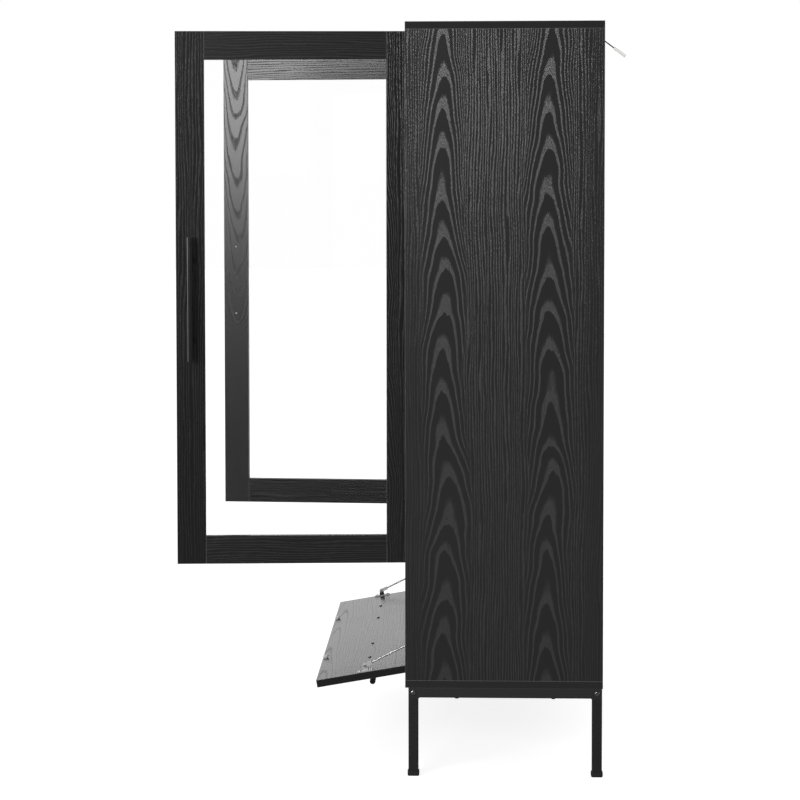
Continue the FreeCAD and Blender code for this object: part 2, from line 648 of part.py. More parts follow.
def stay_bracket():
    """The plate and ear that hold the stay's rod, on the closed flap's inner face, with its rivet."""
    inner = DOOR_BACK
    z = FLAP_PIVOT_Z + STAY_ALONG
    tip = V(STAY_X, inner + STAY_STANDOFF, z)
    plate = board((STAY_X - PLATE_WIDTH / 2, STAY_X + PLATE_WIDTH / 2), (inner, inner + PLATE_THICKNESS),
                  (z - PLATE_LENGTH / 2, z + PLATE_LENGTH / 2))
    ear_x = (STAY_X - EAR_THICKNESS / 2, STAY_X + EAR_THICKNESS / 2)
    across = V(EAR_THICKNESS / 2, 0, 0)
    ear = box(ear_x, (inner, tip.y), (z - EAR_RADIUS, z + EAR_RADIUS))
    ear = ear.fuse(rod(EAR_RADIUS, tip - across, tip + across))
    hole = rod(RIVET_RADIUS + HOLE_CLEARANCE, tip - across, tip + across)
    bracket = plate.fuse(ear).removeSplitter().cut(hole)
    half = V(FORK_WIDTH / 2 + SEAT_CLEARANCE, 0, 0)
    head = V(RIVET_HEAD, 0, 0)
    rivet = rod(RIVET_RADIUS, tip - half, tip + half)
    for side in (-1, 1):
        rivet = rivet.fuse(rod(RIVET_HEAD_RADIUS, tip + half * side, tip + (half + head) * side))
    return bracket, rivet.removeSplitter()


def make_flap():
    """The flap and what rides on it, closed and then let down."""
    back, right = V(0, 1, 0), V(1, 0, 0)
    depth = (DOOR_FACE, DOOR_BACK)
    panel = board((-FLAP_EDGE_X, FLAP_EDGE_X), depth, (FLAP_LOW, FLAP_LOW + FLAP_HEIGHT))
    pin_end = V(FLAP_EDGE_X, PIVOT_Y, FLAP_PIVOT_Z)
    grip = V(FLAP_HANDLE_X, DOOR_FACE, FLAP_LOW + FLAP_HEIGHT / 2)
    screws, holes = handle_screws(grip, right, back * -1)
    disc_at = V(FLAP_HANDLE_X, DOOR_BACK, FLAP_LOW + FLAP_HEIGHT - FLAP_DISC_FROM_EDGE)
    neck_end = disc_at + back * FLAP_DISC_NECK
    keeper = catch_disc(neck_end, back, FLAP_DISC_RADIUS, FLAP_DISC_THICKNESS)
    keeper = keeper.fuse(rod(FLAP_DISC_NECK_RADIUS, disc_at, neck_end))
    bracket, rivet = stay_bracket()
    closed = {
        "flap_panel": [cut_all(panel, both_sides(holes + [pin_hole(pin_end, right)]))],
        "flap_handles": pair(bar_handle(grip, right, back * -1)),
        "flap_handle_screws": both_sides(screws),
        "flap_pivot_pins": pair(pivot_pin(pin_end, right, FLAP_SIDE_GAP, True)),
        "flap_catch_discs": pair(keeper.removeSplitter()),
        "stay_brackets": pair(bracket),
        "stay_rivets": pair(rivet),
    }
    pivot = V(0, PIVOT_Y, FLAP_PIVOT_Z)
    for name, shapes in closed.items():
        parts[name] = [shape.rotated(pivot, right, FLAP_OPEN) for shape in shapes]


def along_stay(shape, place):
    """Lay a shape made along +Y on the stay's slope at a place."""
    shape = shape.rotated(V(0, 0, 0), V(1, 0, 0), STAY_SLOPE)
    shape.translate(place)
    return shape


def stay_rod():
    """A round rod with a fork at the flap end and a stop past the guide."""
    reach = (STAY_GUIDE - STAY_FOOT).Length + GUIDE_RADIUS + ROD_OVERRUN
    half, tall = FORK_WIDTH / 2, FORK_HEIGHT / 2
    gap = EAR_THICKNESS / 2 + EAR_PLAY
    fork = box((-half, half), (-FORK_TAIL, FORK_LENGTH), (-tall, tall))
    fork = fork.makeFillet(tall - ARRIS, [edge for edge in fork.Edges
                                          if edge.BoundBox.XLength > half and edge.BoundBox.YMax < 0])
    fork = fork.cut(box((-gap, gap), (-FORK_TAIL, FORK_SLOT_LENGTH), (-tall, tall)))
    fork = fork.cut(rod(RIVET_RADIUS + SEAT_CLEARANCE, V(-half, 0, 0), V(half, 0, 0)))
    shaft = rod(ROD_RADIUS, V(0, FORK_SLOT_LENGTH + ROD_RADIUS, 0), V(0, reach, 0))
    stop = rod(ROD_STOP_RADIUS, V(0, reach, 0), V(0, reach + ROD_STOP_LENGTH, 0))
    return along_stay(fork.fuse([shaft, stop]).removeSplitter(), STAY_FOOT)


def stay_guide():
    """A turning block that the rod slides through, on a stub axle in the side panel."""
    half = GUIDE_WIDTH / 2
    shoulder = STAY_FROM_SIDE - FLANGE_THICKNESS - SEAT_CLEARANCE
    block = rod(GUIDE_RADIUS, V(-half, 0, 0), V(shoulder, 0, 0))
    rims = [edge for edge in block.Edges if edge.Closed and edge.CenterOfMass.x < 0]
    block = block.makeChamfer(ARRIS, rims)
    axle = rod(PIN_RADIUS, V(half, 0, 0), V(STAY_FROM_SIDE + BUSH_LENGTH - PIN_END_CLEARANCE, 0, 0))
    bore_radius = ROD_RADIUS + SEAT_CLEARANCE
    bore = rod(bore_radius, V(0, -GUIDE_RADIUS, 0), V(0, GUIDE_RADIUS, 0))
    return along_stay(block.fuse(axle).removeSplitter().cut(bore), STAY_GUIDE)


def make_stays():
    for name, shape in (("stay_rod", stay_rod()), ("stay_guide", stay_guide())):
        parts["right_" + name] = [shape]
        parts["left_" + name] = [mirrored(shape)]


def magnetic_catch(centre_x, keeper_z, keeper_reach, ceiling):
    """A catch hung under a board, its magnet facing forward at the keeper's height."""
    magnet_face = DOOR_BACK + keeper_reach + CATCH_GAP
    face = magnet_face + MAGNET_PROUD
    x = (centre_x - CATCH_WIDTH / 2, centre_x + CATCH_WIDTH / 2)
    housing = board(x, (face, face + CATCH_DEPTH), (ceiling - CATCH_HEIGHT, ceiling))
    magnet_x = (centre_x - MAGNET_WIDTH / 2, centre_x + MAGNET_WIDTH / 2)
    magnet_z = (keeper_z - MAGNET_HEIGHT / 2, keeper_z + MAGNET_HEIGHT / 2)
    magnet = box(magnet_x, (magnet_face, face + MAGNET_DEPTH), magnet_z)
    grown = HOLE_CLEARANCE
    pocket = box((magnet_x[0] - grown, magnet_x[1] + grown), (magnet_face, face + MAGNET_DEPTH),
                 (magnet_z[0] - grown, magnet_z[1] + grown))
    return housing.cut(pocket), magnet


def make_catches():
    door_x = DOOR_FREE_X + DOOR_DISC_FROM_FREE_EDGE
    door_keeper = DOOR_TOP - DOOR_DISC_FROM_TOP
    door_catch, door_magnet = magnetic_catch(door_x, door_keeper, DOOR_DISC_THICKNESS, TOP_LOW)
    flap_keeper = FLAP_LOW + FLAP_HEIGHT - FLAP_DISC_FROM_EDGE
    flap_reach = FLAP_DISC_NECK + FLAP_DISC_THICKNESS
    flap_catch, flap_magnet = magnetic_catch(FLAP_HANDLE_X, flap_keeper, flap_reach, DIVIDER_LOW)
    parts["magnetic_catches"] = pair(door_catch) + pair(flap_catch)
    parts["catch_magnets"] = pair(door_magnet) + pair(flap_magnet)


def make_tether():
    """A stiff wire from an eye in the recess behind the back panel, with a wall plug on its end."""
    tall = TETHER_PLATE_HEIGHT / 2
    plate = board((SIDE_X - TETHER_PLATE, SIDE_X),
                  (REAR - BACK_INSET + TETHER_PLATE_PLAY, REAR - TETHER_PLATE_PLAY),
                  (TETHER_HEIGHT - tall, TETHER_HEIGHT + tall))
    way = V(0, math.cos(TETHER_DIP), -math.sin(TETHER_DIP))
    root = V(SIDE_X - TETHER_PLATE - TETHER_EYE_SEAT, REAR - BACK_INSET / 2, TETHER_HEIGHT)
    eye_end = root + way * (TETHER_EYE_LENGTH / 2)
    eye = rod(TETHER_EYE_RADIUS, root - way * (TETHER_EYE_LENGTH / 2), eye_end)
    wire_start = eye_end - way * WIRE_BITE
    wire_end = root + way * WIRE_LENGTH
    wire_hole = rod(WIRE_RADIUS + HOLE_CLEARANCE, wire_start, wire_end)
    plug = rod(WALL_PLUG_RADIUS, wire_end, wire_end + way * WALL_PLUG_LENGTH)
    bore_end = wire_end + way * WALL_PLUG_BORE_DEPTH
    parts["tether_bracket"] = [plate.fuse(eye).removeSplitter().cut(wire_hole)]
    parts["tether_wire"] = [rod(WIRE_RADIUS, wire_start, bore_end)]
    parts["wall_plug"] = [plug.cut(rod(WIRE_RADIUS + HOLE_CLEARANCE, wire_end, bore_end))]


def main():
    carcass_joints()
    make_shelves()
    make_bushes()
    make_frame_screws()
    make_carcass()
    make_side_frames()
    make_cross_rails()
    make_glides()
    make_doors()
    make_flap()
    make_stays()
    make_catches()
    make_tether()
    for name, shapes in fittings.items():
        parts[name] = shapes
    os.makedirs("parts", exist_ok=True)
    for name, shapes in parts.items():
        shape = shapes[0] if len(shapes) == 1 else Part.makeCompound(shapes)
        shape.exportStep(os.path.join("parts", name + ".step"))
    print(len(parts), "nodes,", sum(len(shapes) for shapes in parts.values()), "solids")


main()
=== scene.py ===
# %% [markdown]
# # A black display cabinet with its doors and flap standing open
# The cabinet's solids come ready made, in metres and in their places, each riding on
# the body that it moves with. What is left for this lesson is the finish of every board
# and fitting, the small screws, the light and the camera.

# %% Load the solids
import json
import math

import bmesh
import bpy
from mathutils import Matrix, Vector

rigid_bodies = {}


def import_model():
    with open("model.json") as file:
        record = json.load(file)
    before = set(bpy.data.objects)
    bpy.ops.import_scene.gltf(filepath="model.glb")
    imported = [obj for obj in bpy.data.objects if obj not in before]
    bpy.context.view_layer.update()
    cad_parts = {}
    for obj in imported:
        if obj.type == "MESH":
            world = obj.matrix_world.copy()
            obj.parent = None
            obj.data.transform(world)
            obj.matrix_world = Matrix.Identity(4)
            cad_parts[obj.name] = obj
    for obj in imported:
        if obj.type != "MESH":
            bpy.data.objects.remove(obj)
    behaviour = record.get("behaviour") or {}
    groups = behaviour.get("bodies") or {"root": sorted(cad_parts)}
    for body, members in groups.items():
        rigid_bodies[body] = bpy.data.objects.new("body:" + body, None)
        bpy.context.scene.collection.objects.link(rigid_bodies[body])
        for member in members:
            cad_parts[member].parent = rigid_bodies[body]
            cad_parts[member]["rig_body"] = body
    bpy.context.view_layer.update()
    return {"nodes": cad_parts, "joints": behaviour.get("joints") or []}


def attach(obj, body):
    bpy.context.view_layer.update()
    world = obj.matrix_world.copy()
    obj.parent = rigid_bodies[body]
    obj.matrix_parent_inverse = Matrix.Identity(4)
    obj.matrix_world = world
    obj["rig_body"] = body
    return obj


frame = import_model()
nodes = frame["nodes"]

# %% [markdown]
# ## Sums with shader nodes
# A finish is mostly arithmetic on the surface point: waves, noise and masks. Drawn as a web
# of nodes that arithmetic is hard to read, so one small class wraps a node's output and
# lets Python's own signs add the Math nodes. Anything that isn't arithmetic goes through
# its node method, which sets a node's choices first and then fills its sockets.


# %% A wire that can be added and multiplied
class Wire:
    """One output of a shader node, used in sums as if it were a number."""

    def __init__(self, tree, socket=None):
        self.tree = tree
        self.socket = socket

    def node(self, kind, settings=None, inputs=None, output=0):
        """A new node of this kind; its settings are set first, then its sockets."""
        made = self.tree.nodes.new("ShaderNode" + kind)
        for name, value in (settings or {}).items():
            setattr(made, name, value)
        for name, value in (inputs or {}).items():
            if isinstance(value, Wire):
                self.tree.links.new(value.socket, made.inputs[name])
            else:
                made.inputs[name].default_value = value
        return Wire(self.tree, made.outputs[output] if made.outputs else None)

    def math(self, operation, *values):
        return self.node("Math", {"operation": operation}, dict(enumerate(values)))

    def __add__(self, other):
        return self.math("ADD", self, other)

    def __sub__(self, other):
        return self.math("SUBTRACT", self, other)

    def __rsub__(self, other):
        return self.math("SUBTRACT", other, self)

    def __mul__(self, other):
        return self.math("MULTIPLY", self, other)

    def __truediv__(self, other):
        return self.math("DIVIDE", self, other)

    def __abs__(self):
        return self.math("ABSOLUTE", self)

    __radd__ = __add__
    __rmul__ = __mul__


# %% [markdown]
# ### Helpers that most finishes share
# Each finish starts from an empty material and ends in one surface shader. Between them stand
# soft steps, soft noise, a bump and the place on the piece. Written once, these helpers leave
# each finish with only the lines that make it different. Places are in millimetres, because
# grain, ripple and specks are easier to judge in them.


# %% A material and its surface
def new_finish(name):
    """An empty material and a wire to start its nodes from."""
    material = bpy.data.materials.new(name)
    material.use_nodes = True
    material.node_tree.nodes.clear()
    return material, Wire(material.node_tree)


def surface(start, sockets):
    """The surface itself, with these sockets, joined to the material's output."""
    shader = start.node("BsdfPrincipled", inputs=sockets)
    start.node("OutputMaterial", inputs={"Surface": shader})


# %% Steps, mixes, noise and bumps
def ease(value, low, high):
    """0 below low and 1 above high, with a soft step between; the limits may be swapped."""
    inputs = {"Value": value, "From Min": low, "From Max": high}
    return value.node("MapRange", {"interpolation_type": "SMOOTHSTEP"}, inputs)


def larger(value, other):
    """The larger of two values at each point."""
    return value.math("MAXIMUM", value, other)


def smaller(value, other):
    """The smaller of two values at each point."""
    return value.math("MINIMUM", value, other)


def blend(mask, colour, other):
    """One colour where the mask is 0, the other where it is 1."""
    inputs = {0: mask, 6: (*colour, 1), 7: (*other, 1)}
    return mask.node("Mix", {"data_type": "RGBA"}, inputs, output=2)


def cloud(x, y, z, detail=2.0):
    """Soft noise from 0 to 1, stretched by the way x, y and z are scaled."""
    spot = x.node("CombineXYZ", inputs={"X": x, "Y": y, "Z": z})
    return x.node("TexNoise", inputs={"Vector": spot, "Scale": 1.0, "Detail": detail})


def bump(height, depth):
    """A surface normal from a height of 0 to 1, where 1 stands this many metres high."""
    return height.node("Bump", inputs={"Height": height, "Distance": depth, "Strength": 1.0})


# %% Places and rays
MM = 1000.0  # millimetres in a metre


def split(vector):
    """The three numbers of a vector."""
    parts = vector.node("SeparateXYZ", inputs={"Vector": vector})
    outputs = parts.socket.node.outputs
    return [Wire(vector.tree, out) for out in outputs]


def place_mm(start):
    """The surface point in millimetres, held to the piece as it moves."""
    point = start.node("TexCoord", output="Object")
    return [part * MM for part in split(point)]


def ray_kind(start, kind):
    """1 for rays of this kind, 0 for all others."""
    return start.node("LightPath", output="Is " + kind + " Ray")


# %% [markdown]
# ## Where each board's grain runs
# The boards are cut from the same sheet, and the grain always runs along a board's longer
# side. The doors and the flap stand open in the frame, which would slant their grain, so
# each point is first turned back to the closed cabinet about its own hinge. There every
# board is square to the axes: its shortest side is the thickness, its longest the grain.

# %% Turn the open leaves back to closed
closing = {joint["child"]: joint for joint in frame["joints"] if joint["name"].endswith("_hinge")}


def closed_matrix(body):
    """The move that shuts a leaf; nothing for the carcass."""
    if body not in closing:
        return Matrix.Identity(4)
    hinge = closing[body]
    pivot = Matrix.Translation(hinge["pos_m"])
    angle = math.radians(hinge["range_deg"][1])
    return pivot @ Matrix.Rotation(angle, 4, Vector(hinge["axis"])) @ pivot.inverted()


def closed_box(name):
    """Lowest and highest corner of a solid when its leaf is shut."""
    shut = closed_matrix(nodes[name]["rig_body"])
    points = [shut @ vertex.co for vertex in nodes[name].data.vertices]
    return (Vector([min(p[i] for p in points) for i in range(3)]),
            Vector([max(p[i] for p in points) for i in range(3)]))


def shut_vector(start, vector, body, turn_only):
    """A point, or a direction, turned with its leaf to the closed cabinet."""
    if body not in closing:
        return vector
    hinge = closing[body]
    centre = (0, 0, 0) if turn_only else hinge["pos_m"]
    inputs = {"Vector": vector, "Center": centre, "Axis": hinge["axis"],
              "Angle": math.radians(hinge["range_deg"][1])}
    return start.node("VectorRotate", {"rotation_type": "AXIS_ANGLE"}, inputs)


for leaf, hinge in closing.items():
    print(leaf, "stands", hinge["range_deg"][1], "degrees open")

# %% [markdown]
# ## Embossed black wood grain
# The boards wear a black foil pressed with the figure of plain-sawn ash. Two things show it:
# the smooth bands mirror the light like satin, and the pressed grain lines are full of tiny
# grooves that scatter it. So a lamp off to one side makes the lines paler than the bands,
# and a lamp that the bands mirror makes the lines darker. Colour alone could not do both,
# so the mask of the figure drives mostly the grooves and the roughness, and little colour.
# The arches come from one distance: along the board, plus a fall that grows away from the
# middle of each column. Rings of equal distance are then arches that run out into long lines.

# %% Sizes of the figure, in millimetres
ARCH_PITCH = 82.0  # from the tip of one arch to the next
ARCH_HALF_WIDTH = 17.3  # this far from the middle of its column,
ARCH_DROP = 66.0  # an arch has fallen by this much
COLUMN_SWAY = 46.0  # how far a column wanders from side to side
COLUMN_EDGE = (36.0, 54.0)  # between these distances arches give way to straight lines
COLUMN_OVER = 60.0  # added to the distance where a column has ended
RUN_OUT = 50.0  # a column ends over twice this length
LINE_PITCH = 5.4  # from one straight line to the next
LINE_SWAY = 16.0  # how far the straight lines wander
OFF_THE_BOARD = -400.0  # the middle of a column that the board doesn't show
print("an arch every", ARCH_PITCH, "mm and a line every", LINE_PITCH, "mm")


# %% The mask of the pressed grain
def pressed_line(rings, share):
    """1 at the sharp inner edge of each ring, fading outward over this share of it."""
    ring = rings.math("FRACT", rings)
    return ease(ring, 0.0, 0.06) * (1.0 - ease(ring, share * 0.45, share))


def column_distance(across, columns, sway):
    """How far a point lies from the middle of the nearest column."""
    place = across + sway * COLUMN_SWAY
    away = abs(place - columns[0])
    for middle in columns[1:]:
        away = smaller(away, abs(place - middle))
    return away


def grain_mask(along, across, columns, seed, share, power, widen, runs_out):
    """1 in the pressed lines and 0 in the smooth bands between them."""
    # Noise with a small scale changes slowly, so most of these are longest along the grain.
    sway = cloud(along * 0.0035, across * 0.004, seed) - 0.5
    uneven = cloud(along * 0.007, across * 0.006, seed + 3.0) - 0.5
    shiver = cloud(across * 0.16, along * 0.020, seed + 5.0) - 0.5
    crowd = cloud(across * 0.045, along * 0.0025, seed + 7.0) - 0.5
    strength = cloud(across * 0.04, along * 0.005, seed + 11.0) * 0.7 + 0.7
    slim = cloud(along * 0.005, across * 0.011, seed + 17.0) * 1.3 + 0.35
    away = column_distance(across, columns, sway)
    if runs_out:
        ended = ease(along, runs_out - RUN_OUT, runs_out + RUN_OUT)
        away = away + ended * COLUMN_OVER
        strength = strength * (1.0 - ended * 0.55)
    if widen:
        slim = slim * (1.0 - ease(along, widen, widen * 0.6) * 0.48)
    fall = away.math("POWER", away / ARCH_HALF_WIDTH, power) * slim * ARCH_DROP
    arches = (along + fall) / ARCH_PITCH + uneven * 1.7 + shiver * 0.20
    straight = (across + sway * LINE_SWAY) / LINE_PITCH + crowd * 4.0 + shiver * 0.6
    beside = ease(away, *COLUMN_EDGE)
    thinned = (1.0 - ease(away, 3.0, 18.0) * 0.12) * share
    figure = (pressed_line(arches, thinned) * (1.0 - beside)
              + pressed_line(straight, share * 1.2) * 0.85 * beside)
    return figure * strength


# %% [markdown]
# ### Grooves that scatter sideways
# The lines are pale because of hundreds of hair-fine grooves that run with the grain. Each
# leans the surface a little to one side or the other, never up or down the board, so light
# spreads across the grain and stays narrow along it. That is why the figure is strong near
# the top of the photographed side, where the lamp is level with it, and fades lower down.
# A Bump node can't lean one way only, so the normal is leaned by vector sums instead.

# %% Lean the surface across the grain
GROOVE_SLOPE = 2.7


def across_direction(start, name, wide):
    """The board's across-the-grain direction in the room, whatever pose it is in."""
    shut = closed_matrix(nodes[name]["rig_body"]).to_3x3()
    axis = shut.inverted() @ Vector([1.0 if i == wide else 0.0 for i in range(3)])
    settings = {"vector_type": "VECTOR", "convert_from": "OBJECT", "convert_to": "WORLD"}
    return start.node("VectorTransform", settings, {"Vector": axis})


def leaned_normal(start, direction, lean):
    """The surface normal leaned by this much towards a direction."""
    shift = start.node("VectorMath", {"operation": "SCALE"}, {0: direction, "Scale": lean})
    normal = start.node("NewGeometry", output="Normal")
    total = start.node("VectorMath", {"operation": "ADD"}, {0: normal, 1: shift})
    return start.node("VectorMath", {"operation": "NORMALIZE"}, {0: total})


# %% [markdown]
# ### The foil on one board
# The broad faces show the figure, and the narrow ones an edge tape with short dashes. Where
# faces meet, the arris is paler: partly rubbed wear, and partly a painted edge highlight. Every
# board takes the same recipe with a few choices of its own, because boards that are cut from
# different parts of a sheet never match. The tone is partly painted shade: boards that lie in
# less light, such as the left door's bottom rail, are given a darker colour.

# %% Foil
FOIL_BLACK = 0.0175
FOIL_GRAIN = 0.0310
# colour of the arris: rubbed wear and a painted edge highlight
FOIL_ARRIS_WEAR_AND_HIGHLIGHT = 0.11
SATIN, MATT = 0.21, 0.53  # roughness of the smooth bands
SATIN_SHEEN, MATT_SHEEN = 0.40, 0.08


def board_axes(name):
    """Lowest corner and size of a shut board, then its thickness, width and length axes."""
    low, high = closed_box(name)
    size = high - low
    return low, size, sorted(range(3), key=lambda axis: size[axis])


def grain_foil(name, columns=(), points_up=True, seed=0.0, share=0.52, power=2.05, stretch=1.0,
               widen=0.0, runs_out=0.0, quiet=0.0, tone_and_shade=1.0, press=1.0, tip=0.0, matt=False):
    """The foil for one board.

    columns    middles of the columns of arches, as shares of the board's width
    points_up  False where the arches point the other way, which counts lengths as minus
    seed       the part of the sheet that the board was cut from
    share      how much of each ring is pressed
    power      about 2 for rounded arches, more for flatter tips with steeper sides
    stretch    above 1 for longer arches
    widen      the arches grow wider below this height on the board, in millimetres
    runs_out   where along the board the columns end, in millimetres before stretching
    quiet      the margin along the long edges, in millimetres, with half the figure
    tone       how pale the colour is, where 1 is the usual foil
    press      how deep the grooves are, where 1 is the usual foil
    tip        how much all the grooves lean to one side
    matt       True for a foil that mirrors hardly anything
    """
    material, start = new_finish(name + "_foil")
    body = nodes[name]["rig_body"]
    low, size, (through, wide, long) = board_axes(name)
    point = split(shut_vector(start, start.node("TexCoord", output="Object"), body, False))
    facing = split(shut_vector(start, start.node("TexCoord", output="Normal"), body, True))
    along = (point[long] - low[long]) * (MM if points_up else -MM)
    across = (point[wide] - low[wide]) * MM
    width = size[wide] * MM
    middles = [column * width for column in columns] or [OFF_THE_BOARD]
    figure = grain_mask(along / stretch, across, middles, seed, share, power, widen, runs_out)
    dashes = ease(cloud(across * 0.40, along * 0.050, seed + 13.0), 0.25, 0.70)
    tape = cloud((across + point[through] * MM) * 1.1, along * 0.012, seed + 5.0)
    broad = ease(abs(facing[through]), 0.6, 0.9)
    mask = figure * (dashes * 0.4 + 0.72) * broad + ease(tape, 0.52, 0.8) * 0.4 * (1.0 - broad)
    mask = smaller(mask, 1.0)
    if quiet:
        margin = smaller(across, width - across)
        mask = mask * (ease(margin, quiet * 0.3, quiet) * 0.5 + 0.5)
    grooves = cloud(across * 4.0, along * 0.20, seed, detail=3.0)
    lean = ((grooves - 0.5) * GROOVE_SLOPE + tip) * mask * broad * press
    square_on = larger(larger(abs(facing[0]), abs(facing[1])), abs(facing[2]))
    # painted edge highlight, partly: the arris is paler as rubbed wear and as a highlight
    arris_wear_and_highlight = ease(square_on, 0.95, 0.78)
    handled = cloud(along * 0.006, across * 0.006, seed + 9.0) - 0.5
    # a tone below 1 darkens the board's colour, partly as painted shade
    paler = (FOIL_GRAIN - FOIL_BLACK) * tone_and_shade
    surface(start, {
        "Base Color": mask * paler + arris_wear_and_highlight * FOIL_ARRIS_WEAR_AND_HIGHLIGHT + FOIL_BLACK * tone_and_shade,
        "Roughness": mask * 0.09 + handled * 0.04 + (MATT if matt else SATIN),
        "Specular IOR Level": MATT_SHEEN if matt else SATIN_SHEEN,
        "Normal": leaned_normal(start, across_direction(start, name, wide), lean),
    })
    return material


# %% Columns of arches, board by board
# partly painted shade: the low tones of the door boards, lowest on the left door's bottom rail,
# darken boards where less light falls
FIGURES = {
    "right_side_panel": dict(columns=(0.20, 0.725), seed=1.0, quiet=60.0, widen=1250.0, tip=-0.08),
    "left_side_panel": dict(columns=(0.27, 0.79), seed=2.3, quiet=60.0, widen=1250.0, tip=-0.08),
    "top_panel": dict(columns=(0.30, 0.82), seed=3.1, matt=True),
    "bottom_panel": dict(columns=(0.22, 0.70), seed=4.7, tone_and_shade=1.1),
    "divider_panel": dict(columns=(0.35, 0.88), seed=5.2),
    "lower_shelf": dict(columns=(0.18, 0.72), seed=6.4),
    "middle_shelf": dict(columns=(0.40, 0.93), points_up=False, seed=7.9),
    "upper_shelf": dict(columns=(0.28, 0.76), seed=8.5),
    "flap_panel": dict(columns=(0.93,), points_up=False, seed=9.3, share=0.26,
                       tone_and_shade=0.6, press=0.38, stretch=2.8),
    "left_door_meeting_stile": dict(columns=(0.47,), points_up=False, seed=10.6, share=0.48,
                                    power=2.0, tone_and_shade=0.75, stretch=0.88, runs_out=-464.0),
    "left_door_hinge_stile": dict(columns=(-0.5,), seed=11.2, tone_and_shade=0.8),
    "left_door_top_rail": dict(seed=12.8, share=0.42, tone_and_shade=0.9, press=1.05),
    "left_door_bottom_rail": dict(seed=13.5, tone_and_shade=0.22, press=0.2),
    "right_door_meeting_stile": dict(seed=14.1, tone_and_shade=0.36, press=0.3),
    "right_door_hinge_stile": dict(columns=(-0.45,), seed=15.7, tone_and_shade=0.6),
    "right_door_top_rail": dict(seed=16.4, tone_and_shade=0.8, press=0.75),
    "right_door_bottom_rail": dict(seed=17.6, tone_and_shade=0.65, press=0.6),
}
print(sum(len(choice.get("columns", ())) for choice in FIGURES.values()), "columns of arches")

# %% [markdown]
# ## Powder coat
# The leg frames, cross rails and small black fittings are steel with a baked powder skin. It
# has a faint orange-peel ripple and fine specks. A picture of it would stretch round the tubes,
# so both are noise in space, and the ripple goes to the bump and the roughness. The leg rail
# in the photograph is a shade paler than the legs, so a band at its height has a paler colour.

# %% Powder-coated steel
PALE_BAND_BEGINS, PALE_BAND_ENDS = (154.0, 164.0), (190.0, 182.0)  # heights of the leg rail, in millimetres


def powder_coat():
    material, start = new_finish("powder_coat")
    x, y, z = place_mm(start)
    peel = cloud(x * 0.55, y * 0.55, z * 0.55)
    speck = ease(cloud(x * 3.1, y * 3.1, z * 3.1), 0.55, 0.75)
    # a band at the leg rail's height is given a paler colour
    pale_band = ease(z, *PALE_BAND_BEGINS) * ease(z, *PALE_BAND_ENDS)
    surface(start, {
        "Base Color": blend(speck + pale_band * 0.8, (0.0148, 0.0148, 0.0152), (0.023, 0.023, 0.0235)),
        "Roughness": peel * 0.10 + 0.35,
        "Specular IOR Level": 0.30,
        "Normal": bump(peel, 0.00012),
    })
    return material


# %% [markdown]
# ## Lacquer on the handles
# The bars are smooth black lacquer, darker than the grain behind them, with one thin bright
# line down the side. The line could be painted on, but it has to move with the bar, so a low
# roughness lets the bar mirror a lamp instead.


# %% Gloss lacquer
def gloss_lacquer():
    material, start = new_finish("gloss_lacquer")
    x, y, z = place_mm(start)
    rubbed = cloud(x * 0.20, y * 0.20, z * 0.05, detail=4.0)
    ripple = cloud(x * 0.9, y * 0.9, z * 0.9)
    surface(start, {
        "Base Color": blend(rubbed, (0.0085, 0.0085, 0.0088), (0.0135, 0.0135, 0.014)),
        "Roughness": rubbed * 0.06 + 0.07,
        "Specular IOR Level": 0.7,
        "Normal": bump(ripple, 0.00002),
    })
    return material


# %% [markdown]
# ## Zinc and blackened steel
# Pins, screws and cams are zinc plated: bright metal, a little cloudy, drawn in one direction.
# The stamped stay brackets are duller. The flap's keepers look chalky in the photograph, paler
# than the board that they stand on, so they are hardly metallic. The frame's socket bolts are
# blackened. Three recipes could be written for the zinc, but the kinds differ only in roughness
# and in how metallic they are, so one function with two choices makes them all.


# %% Zinc plate
def zinc_plate(name, roughness, metal=1.0):
    material, start = new_finish(name)
    x, y, z = place_mm(start)
    bloom = cloud(x * 0.25, y * 0.25, z * 0.25, detail=4.0)
    drawn = cloud(x * 4.0, y * 0.4, z * 4.0)
    surface(start, {
        "Base Color": blend(bloom, (0.60, 0.61, 0.63), (0.74, 0.73, 0.70)),
        "Metallic": metal,
        "Roughness": bloom * 0.12 + drawn * 0.08 + roughness,
        "Normal": bump(drawn, 0.00002),
    })
    return material


# %% Blackened bolts
def blackened_steel():
    material, start = new_finish("blackened_steel")
    x, y, z = place_mm(start)
    bloom = cloud(x * 0.6, y * 0.6, z * 0.6, detail=4.0)
    surface(start, {
        "Base Color": blend(bloom, (0.290, 0.290, 0.300), (0.370, 0.365, 0.360)),
        "Metallic": 1.0,
        "Roughness": bloom * 0.10 + 0.12,
        "Normal": bump(bloom, 0.00002),
    })
    return material


# %% [markdown]
# ## Stay rods
# Each rod is drawn steel with a cast fork at its lower end. Both are one solid, so the finish
# tells them apart by the distance from the rivet: pale and rough within the fork's reach, and
# darker and smoother along the shaft. The shaft's darker colour is partly painted shade: it
# darkens both rods so that the far one, which lies in shade, reads dark. A second material
# would need the mesh to be divided.

# %% Cast fork and drawn rod
FORK_REACH = (14.5, 15.5)  # millimetres from the rivet


